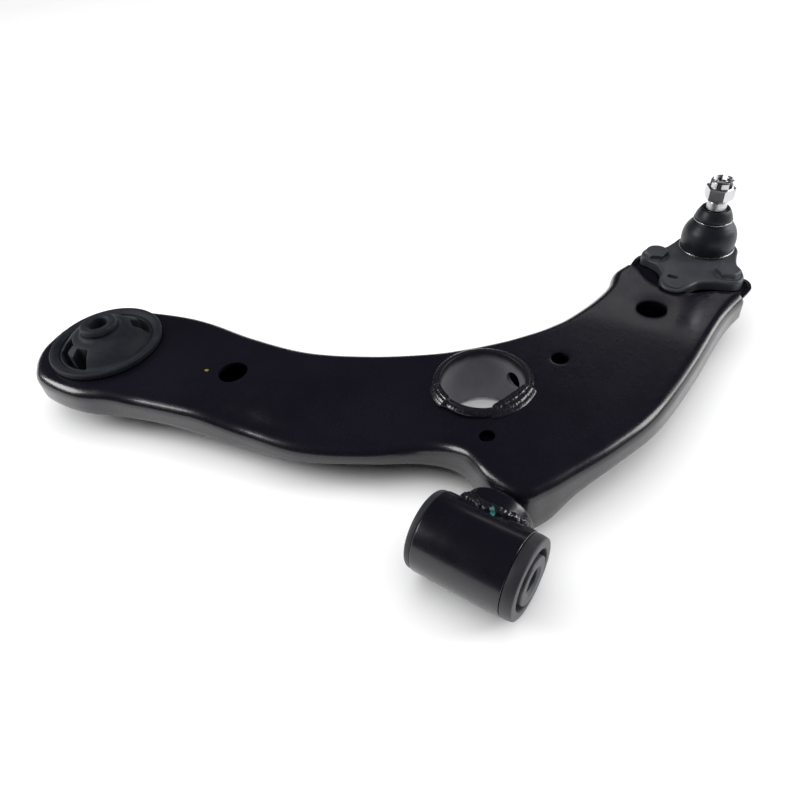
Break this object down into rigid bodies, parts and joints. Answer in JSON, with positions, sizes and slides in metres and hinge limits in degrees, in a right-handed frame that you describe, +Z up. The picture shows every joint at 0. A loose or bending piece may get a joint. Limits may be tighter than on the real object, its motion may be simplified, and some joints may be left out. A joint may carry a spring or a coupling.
{
  "type": "suspension control arm",
  "caption": "Pressed-steel lower suspension arm with a horizontal front bush, a vertical rear bush and a ball joint whose stud points up.",
  "frame": {"origin": "centre of the front bush's bolt bore, midway along the bush housing", "axes": "+X along the front bush axis towards the front of the vehicle, +Y outboard towards the ball joint, +Z up along the rear bush axis"},
  "size_m": [0.4654, 0.4066, 0.1077],
  "materials": {
    "arm_paint": "semi-gloss black dip paint",
    "bush_rubber": "matte moulded rubber",
    "boot_rubber": "satin rubber",
    "bush_steel": "phosphated steel",
    "forging": "satin dark forging",
    "seat_plastic": "self-lubricating polymer",
    "stud_steel": "ground steel",
    "ring_steel": "spring steel",
    "nut_zinc": "zinc plate"
  },
  "bodies": {
    "arm": {"upper_shell": "arm_paint", "lower_shell": "arm_paint", "seam_weld": "arm_paint", "centre_tube": "arm_paint", "centre_tube_upper_weld": "arm_paint", "centre_tube_lower_weld": "arm_paint", "front_neck": "arm_paint", "neck_housing_weld": "arm_paint", "neck_arm_weld": "arm_paint", "front_bush_housing": "arm_paint", "front_bush_outer_sleeve": "bush_steel", "front_bush_rubber": "bush_rubber", "rear_bush_outer_ring": "bush_rubber", "ball_joint_housing": "forging", "ball_seat": "seat_plastic", "ball_joint_end_cap": "forging", "boot_lower_ring": "ring_steel", "ball_joint_bolts": "forging", "ball_joint_nuts": "forging"},
    "front_sleeve": {"front_bush_inner_sleeve": "bush_steel"},
    "rear_core": {"rear_bush_rubber": "bush_rubber"},
    "rear_sleeve": {"rear_bush_inner_sleeve": "bush_steel"},
    "boot": {"dust_boot": "boot_rubber"},
    "boot_collar": {"boot_upper_ring": "ring_steel"},
    "stud": {"ball_stud": "stud_steel", "castle_nut": "nut_zinc"}
  },
  "joints": [
    {"name": "front_bush_twist", "type": "hinge", "parent": "arm", "child": "front_sleeve", "pos_m": [0, 0, 0], "axis": [1, 0, 0], "range_deg": [-25, 25], "stiffness_Nm_per_rad": 60, "deforming": ["front_bush_rubber"]},
    {"name": "rear_bush_tilt", "type": "hinge", "parent": "arm", "child": "rear_core", "pos_m": [-0.3405, 0.0112, 0.01], "axis": [1, 0, 0], "range_deg": [-12, 12], "stiffness_Nm_per_rad": 120, "deforming": ["rear_bush_rubber"]},
    {"name": "rear_bush_twist", "type": "hinge", "parent": "rear_core", "child": "rear_sleeve", "pos_m": [-0.3405, 0.0112, 0.01], "axis": [0, 0, 1], "range_deg": [-10, 10], "stiffness_Nm_per_rad": 80, "deforming": ["rear_bush_rubber"]},
    {"name": "ball_swing_fore_aft", "type": "hinge", "parent": "arm", "child": "boot", "pos_m": [0.0245, 0.3382, 0.005], "axis": [0, 1, 0], "range_deg": [-15, 15], "deforming": ["dust_boot"]},
    {"name": "ball_swing_in_out", "type": "hinge", "parent": "boot", "child": "boot_collar", "pos_m": [0.0245, 0.3382, 0.005], "axis": [1, 0, 0], "range_deg": [-20, 20], "deforming": ["dust_boot"]},
    {"name": "ball_stud_turn", "type": "hinge", "parent": "boot_collar", "child": "stud", "pos_m": [0.0245, 0.3382, 0.005], "axis": [0, 0, 1], "continuous": true, "deforming": ["dust_boot"]}
  ]
}
